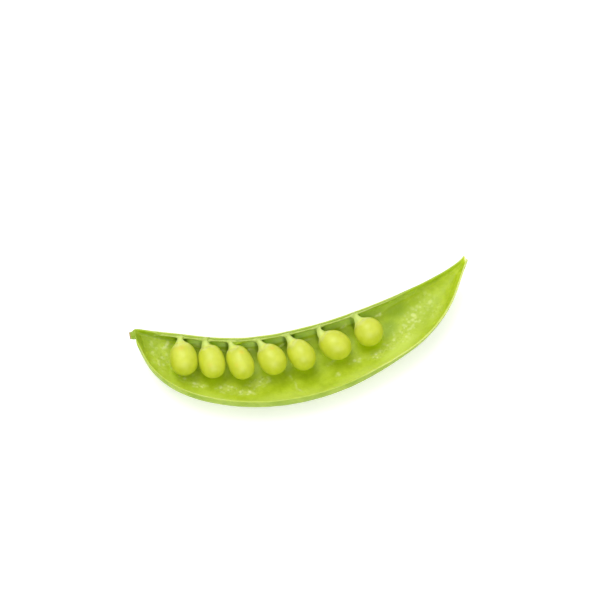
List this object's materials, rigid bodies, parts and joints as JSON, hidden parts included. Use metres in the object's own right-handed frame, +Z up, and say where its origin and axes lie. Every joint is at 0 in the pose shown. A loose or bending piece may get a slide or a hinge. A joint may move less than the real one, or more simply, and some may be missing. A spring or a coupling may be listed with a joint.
{
  "type": "opened sugar snap pea pod",
  "caption": "One curved valve of an opened pea pod lying on its belly, with the suture string, the seed stalks and a row of plump peas inside.",
  "frame": {"origin": "on the surface that the pod lies on, under the middle of its outline", "axes": "+X from the stem end to the tip, +Y towards the suture that bears the peas, +Z up, out of the open side of the valve"},
  "size_m": [0.085, 0.0284, 0.0087],
  "materials": {
    "pod_green": "moist bright green flesh inside, satin waxy green skin outside",
    "string_pale": "pale whitish green, moist and slightly see-through",
    "pea_yellow_green": "satin yellow-green seed coat"
  },
  "bodies": {
    "root": {"pod_valve": "pod_green", "suture_string": "string_pale", "pea_1": "pea_yellow_green", "pea_2": "pea_yellow_green", "pea_3": "pea_yellow_green", "pea_4": "pea_yellow_green", "pea_5": "pea_yellow_green", "pea_6": "pea_yellow_green", "pea_7": "pea_yellow_green"}
  },
  "joints": []
}
